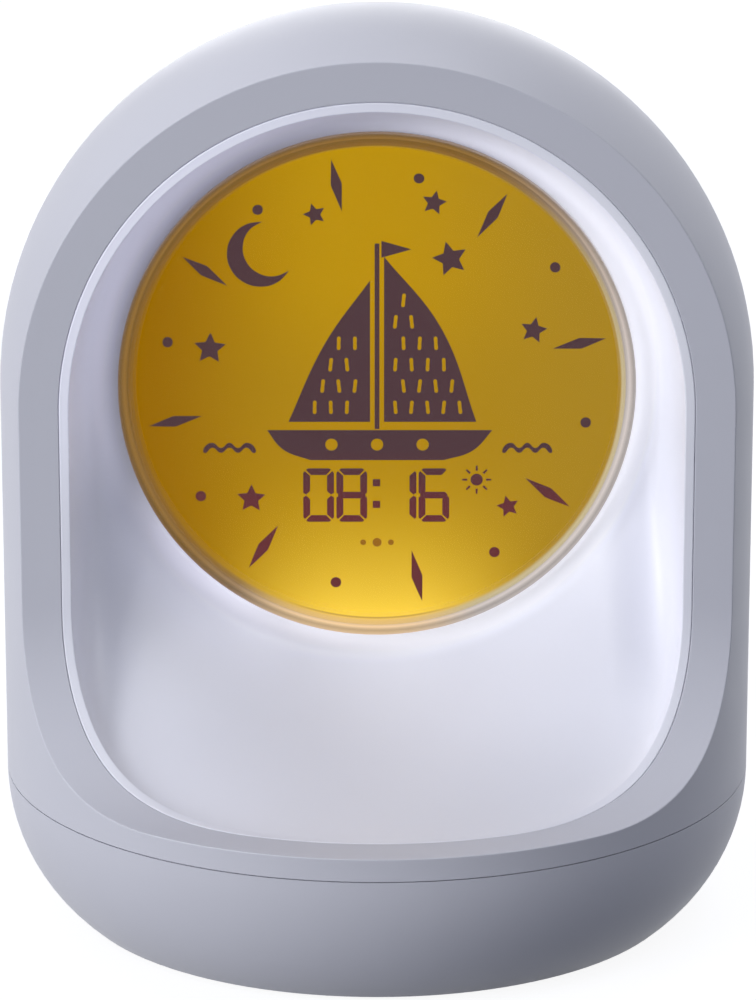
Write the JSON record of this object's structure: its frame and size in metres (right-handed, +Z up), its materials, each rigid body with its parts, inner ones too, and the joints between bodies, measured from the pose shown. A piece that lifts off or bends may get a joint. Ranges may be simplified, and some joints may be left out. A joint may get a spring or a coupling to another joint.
{
  "type": "alarm clock with night light",
  "caption": "Ball-topped bedside alarm clock for children: round display in a lit niche, with buttons, speaker and power inlet behind.",
  "frame": {"origin": "centre of the base on the surface it stands on", "axes": "+Z up along the body's axis, -Y out of the front face, +X to the viewer's right"},
  "size_m": [0.14, 0.14, 0.1715],
  "materials": {
    "shell_grey": "satin",
    "liner_white": "matte",
    "lens_clear": "clear, polished",
    "lcd_glass": "satin, lit amber from behind",
    "foam_dark": "matte foam",
    "led": "gloss",
    "dark_plastic": "matte",
    "screw_steel": "satin",
    "board_green": "gloss",
    "flat_cable": "gloss film",
    "button_white": "satin",
    "speaker_paper": "matte paper",
    "magnet_steel": "satin",
    "lead_cover": "satin",
    "socket_steel": "satin",
    "foot_rubber": "matte"
  },
  "bodies": {
    "housing": {"outer_shell": "shell_grey", "base_cup": "shell_grey", "niche_liner": "liner_white", "display_lens": "lens_clear", "lcd_panel": "lcd_glass", "display_seal": "foam_dark", "diffuser_sheet": "liner_white", "reflector_tray": "liner_white", "backlight_board": "liner_white", "backlight_leds": "led", "display_carrier": "dark_plastic", "carrier_screws": "screw_steel", "halo_board": "board_green", "halo_leds": "led", "main_board": "board_green", "board_screws": "screw_steel", "main_processor": "dark_plastic", "wireless_module": "board_green", "board_capacitors": "dark_plastic", "board_connectors": "liner_white", "lcd_ribbon": "flat_cable", "rear_panel": "shell_grey", "button_board": "board_green", "button_switches": "dark_plastic", "button_board_screws": "screw_steel", "button_ribbon": "liner_white", "speaker_frame": "dark_plastic", "speaker_cone": "speaker_paper", "speaker_magnet": "magnet_steel", "speaker_gasket": "foam_dark", "speaker_screws": "screw_steel", "speaker_leads": "lead_cover", "usb_board": "board_green", "usb_socket": "socket_steel", "usb_board_screws": "screw_steel", "power_leads": "lead_cover", "halo_leads": "lead_cover", "backlight_leads": "lead_cover", "base_screws": "screw_steel", "rubber_feet": "foot_rubber"},
    "button_light": {"button_light": "button_white"},
    "button_minus": {"button_minus": "button_white"},
    "button_mode": {"button_mode": "button_white"},
    "button_plus": {"button_plus": "button_white"},
    "button_alarm": {"button_alarm": "button_white"}
  },
  "joints": [
    {"name": "button_light_press", "type": "slide", "parent": "housing", "child": "button_light", "axis": [0, -1, 0], "range_m": [0, 0.0008], "stiffness_N_per_m": 1500},
    {"name": "button_minus_press", "type": "slide", "parent": "housing", "child": "button_minus", "axis": [0, -1, 0], "range_m": [0, 0.0008], "stiffness_N_per_m": 1500},
    {"name": "button_mode_press", "type": "slide", "parent": "housing", "child": "button_mode", "axis": [0, -1, 0], "range_m": [0, 0.0008], "stiffness_N_per_m": 1500},
    {"name": "button_plus_press", "type": "slide", "parent": "housing", "child": "button_plus", "axis": [0, -1, 0], "range_m": [0, 0.0008], "stiffness_N_per_m": 1500},
    {"name": "button_alarm_press", "type": "slide", "parent": "housing", "child": "button_alarm", "axis": [0, -1, 0], "range_m": [0, 0.0008], "stiffness_N_per_m": 1500}
  ]
}
